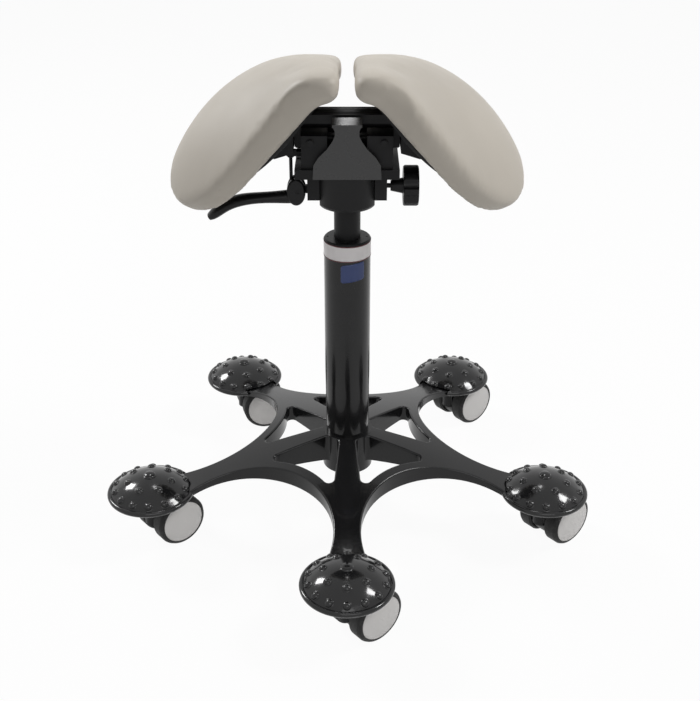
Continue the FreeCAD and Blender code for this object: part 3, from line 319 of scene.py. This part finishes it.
def inflate(thing, pressure, most):
    """Blow the cover up for a moment and hold every point within most of where it was."""
    before = [vertex.co.copy() for vertex in thing.data.vertices]
    cloth = thing.modifiers.new("cover", "CLOTH")
    cloth.settings.use_pressure = True
    cloth.settings.uniform_pressure_force = pressure
    cloth.settings.effector_weights.gravity = 0
    cloth.settings.quality = 4
    cloth.settings.tension_stiffness = 60
    cloth.settings.bending_stiffness = 4
    cloth.point_cache.frame_start, cloth.point_cache.frame_end = 1, CLOTH_FRAMES
    for number in range(1, CLOTH_FRAMES + 1):
        bpy.context.scene.frame_set(number)
    apply_modifiers(thing)
    bpy.context.scene.frame_set(1)
    for vertex, old in zip(thing.data.vertices, before):
        step = vertex.co - old
        if step.length > most:
            vertex.co = old + step * (most / step.length)


def smooth(thing):
    for face in thing.data.polygons:
        face.use_smooth = True


def cushion(node_name, body):
    made = copied(nodes[node_name], node_name + "_cover")
    remesh(made, SKIN_VOXEL)
    relax(made, NOSE_ROUNDS, nose_weight)
    relax(made, SKIN_ROUNDS)
    inflate(made, COVER_PRESSURE, COVER_SWELL)
    relax(made, LAST_ROUNDS)
    changed = made.modifiers.new("finer", "SUBSURF")
    changed.levels = changed.render_levels = 1
    apply_modifiers(made)
    smooth(made)
    made.data.materials.append(finishes["leatherette"])
    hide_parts(node_name)
    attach(made, body)


cushion("cushion_right", "seat_right")
cushion("cushion_left", "seat_left")


# Labels on the column: a plain pale band under the collar and a plain blue patch, with no print

FILM = 0.00015
FILM_GAP = 0.0001
EDGE_GAP = 0.00028
BAND_DROP, BAND_HEIGHT = 0.0025, 0.0165
EDGE_HEIGHT, EDGE_OUTSIDE_LOW, EDGE_INSIDE_HIGH = 0.0009, 0.0007, 0.0006
PATCH_TOP, PATCH_FOOT = 0.0195, 0.040
PATCH_FROM, PATCH_TO = -16, 45
PATCH_LEAN = 0.12
PATCH_CORNER = 0.002
COLUMNS, ROWS = 48, 12


def curved_patch(name, radius, from_angle, to_angle, from_z, to_z, colour, lean=0.0, round_off=0.0):
    """A thin film laid round the column between two angles, in degrees from -Y towards +X."""
    mesh = bmesh.new()
    middle = (from_angle + to_angle) / 2
    grid = []
    for row in range(ROWS + 1):
        share_v = row / ROWS
        line = []
        for column in range(COLUMNS + 1):
            share_u = column / COLUMNS
            squeeze = 1.0
            if round_off:
                edge = min(share_v, 1 - share_v) * (to_z - from_z)
                if edge < round_off:
                    inset = round_off - math.sqrt(max(round_off ** 2 - (round_off - edge) ** 2, 0))
                    width = math.radians(to_angle - from_angle) * radius
                    squeeze = 1 - 2 * inset / width
            angle = math.radians(middle + (share_u - 0.5) * squeeze * (to_angle - from_angle))
            height = from_z + (to_z - from_z) * share_v + lean * radius * (angle - math.radians(middle))
            line.append(mesh.verts.new((radius * math.sin(angle), -radius * math.cos(angle), height)))
        grid.append(line)
    for low, high in zip(grid, grid[1:]):
        for a, b, c, d in zip(low, low[1:], high[1:], high):
            mesh.faces.new((a, b, c, d))
    if to_angle - from_angle >= 360:
        bmesh.ops.remove_doubles(mesh, verts=mesh.verts, dist=1e-6)
    data = bpy.data.meshes.new(name)
    mesh.to_mesh(data)
    made = bpy.data.objects.new(name, data)
    bpy.context.scene.collection.objects.link(made)
    skin = made.modifiers.new("film", "SOLIDIFY")
    skin.thickness = FILM
    skin.offset = 1.0
    apply_modifiers(made)
    smooth(made)
    made.data.materials.append(colour)
    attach(made, "base")


tube_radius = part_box("column_tube")[1].x
band_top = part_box("guide_bushing")[1].z - BAND_DROP
band_low = band_top - BAND_HEIGHT
film_radius = tube_radius + FILM_GAP
edge_radius = tube_radius + EDGE_GAP
film_white = label("film_white", linear(236, 232, 232))
film_red = label("film_red", linear(96, 34, 40))
film_blue = label("film_blue", linear(38, 58, 112))
curved_patch("column_band", film_radius, 0, 360, band_low, band_top, film_white)
for number, low in enumerate((band_low - EDGE_OUTSIDE_LOW, band_top - EDGE_INSIDE_HIGH)):
    curved_patch("column_band_edge_" + str(number), edge_radius, 0, 360, low, low + EDGE_HEIGHT, film_red)
curved_patch("column_patch", film_radius, PATCH_FROM, PATCH_TO, band_top - PATCH_FOOT, band_top - PATCH_TOP,
             film_blue, lean=PATCH_LEAN, round_off=PATCH_CORNER)


# Floor, light and camera

ROOM_LIGHT = 0.12
FLOOR_HALF = 6.0
FLOOR_GAP = 0.0005
FLOOR_GLOW = 0.95
LAMP_AIM = (0.0, 0.0, 0.3)
PHOTO_HEIGHT = 701
FOCAL_PIXELS = 1142.6
SENSOR = 36.0
CAMERA_PLACE = (0.0029, -1.1264, 0.8176)
CAMERA_DIP = 28.43


def background_rays(tree):
    """One for the camera's rays and those seen in gloss or through glass, which all meet plain white."""
    rays = tree.nodes.new("ShaderNodeLightPath")
    total = rays.outputs["Is Camera Ray"]
    for kind in ("Is Glossy Ray", "Is Transmission Ray"):
        adding = tree.nodes.new("ShaderNodeMath")
        adding.operation = "ADD"
        adding.use_clamp = True
        tree.links.new(total, adding.inputs[0])
        tree.links.new(rays.outputs[kind], adding.inputs[1])
        total = adding.outputs["Value"]
    return total


def studio_world():
    """White where the camera looks past the stool, a dim even room for the light that falls on it."""
    world = bpy.data.worlds.new("studio")
    world.use_nodes = True
    bpy.context.scene.world = world
    tree = world.node_tree
    tree.nodes.clear()
    output = tree.nodes.new("ShaderNodeOutputWorld")
    shades = []
    for strength in (ROOM_LIGHT, 1.0):
        shade_node = tree.nodes.new("ShaderNodeBackground")
        shade_node.inputs["Color"].default_value = (1, 1, 1, 1)
        shade_node.inputs["Strength"].default_value = strength
        shades.append(shade_node.outputs["Background"])
    either = tree.nodes.new("ShaderNodeMixShader")
    tree.links.new(background_rays(tree), either.inputs["Fac"])
    tree.links.new(shades[0], either.inputs[1])
    tree.links.new(shades[1], either.inputs[2])
    tree.links.new(either.outputs["Shader"], output.inputs["Surface"])


def floor():
    """A pale floor that takes the stool's shadow, a hair below the wheels."""
    mesh = bpy.data.meshes.new("floor")
    turns = ((-1, -1), (1, -1), (1, 1), (-1, 1))
    mesh.from_pydata([(x * FLOOR_HALF, y * FLOOR_HALF, -FLOOR_GAP) for x, y in turns], [], [(0, 1, 2, 3)])
    made = bpy.data.objects.new("floor", mesh)
    bpy.context.scene.collection.objects.link(made)
    material = bpy.data.materials.new("white_floor")
    material.use_nodes = True
    tree = material.node_tree
    shader = tree.nodes["Principled BSDF"]
    shader.inputs["Base Color"].default_value = (0.8, 0.8, 0.8, 1)
    shader.inputs["Roughness"].default_value = 0.9
    glow = tree.nodes.new("ShaderNodeEmission")
    glow.inputs["Color"].default_value = (1, 1, 1, 1)
    share = tree.nodes.new("ShaderNodeMath")
    share.operation = "MULTIPLY"
    share.inputs[1].default_value = FLOOR_GLOW
    mix = tree.nodes.new("ShaderNodeMixShader")
    tree.links.new(background_rays(tree), share.inputs[0])
    tree.links.new(share.outputs["Value"], mix.inputs["Fac"])
    tree.links.new(shader.outputs["BSDF"], mix.inputs[1])
    tree.links.new(glow.outputs["Emission"], mix.inputs[2])
    tree.links.new(mix.outputs["Shader"], tree.nodes["Material Output"].inputs["Surface"])
    mesh.materials.append(material)


def soft_box(name, direction, distance, width, height, power):
    """A rectangular lamp that shines on the middle of the stool from a direction."""
    lamp = bpy.data.lights.new(name, "AREA")
    lamp.energy = power
    lamp.shape = "RECTANGLE"
    lamp.size, lamp.size_y = width, height
    made = bpy.data.objects.new(name, lamp)
    away = Vector(direction).normalized()
    made.location = Vector(LAMP_AIM) + away * distance
    made.rotation_euler = away.to_track_quat("Z", "Y").to_euler()
    bpy.context.scene.collection.objects.link(made)


studio_world()
floor()
soft_box("box_left", (-0.70, 0.45, 0.56), 2.4, 0.45, 0.62, 29)
soft_box("box_right", (0.71, -0.03, 0.70), 2.4, 0.45, 0.62, 29)
soft_box("box_top", (0.0, 0.33, 0.94), 2.2, 0.5, 0.4, 8)
soft_box("box_front", (0.1, -0.83, 0.55), 2.6, 1.6, 1.0, 12)

camera = bpy.data.cameras.new("camera")
camera.sensor_width = SENSOR
camera.sensor_fit = "AUTO"
camera.lens = SENSOR * FOCAL_PIXELS / PHOTO_HEIGHT
viewer = bpy.data.objects.new("camera", camera)
viewer.location = CAMERA_PLACE
viewer.rotation_euler = (math.radians(90 - CAMERA_DIP), 0.0, 0.0)
bpy.context.scene.collection.objects.link(viewer)
bpy.context.scene.camera = viewer
bpy.context.scene.view_settings.view_transform = "Standard"
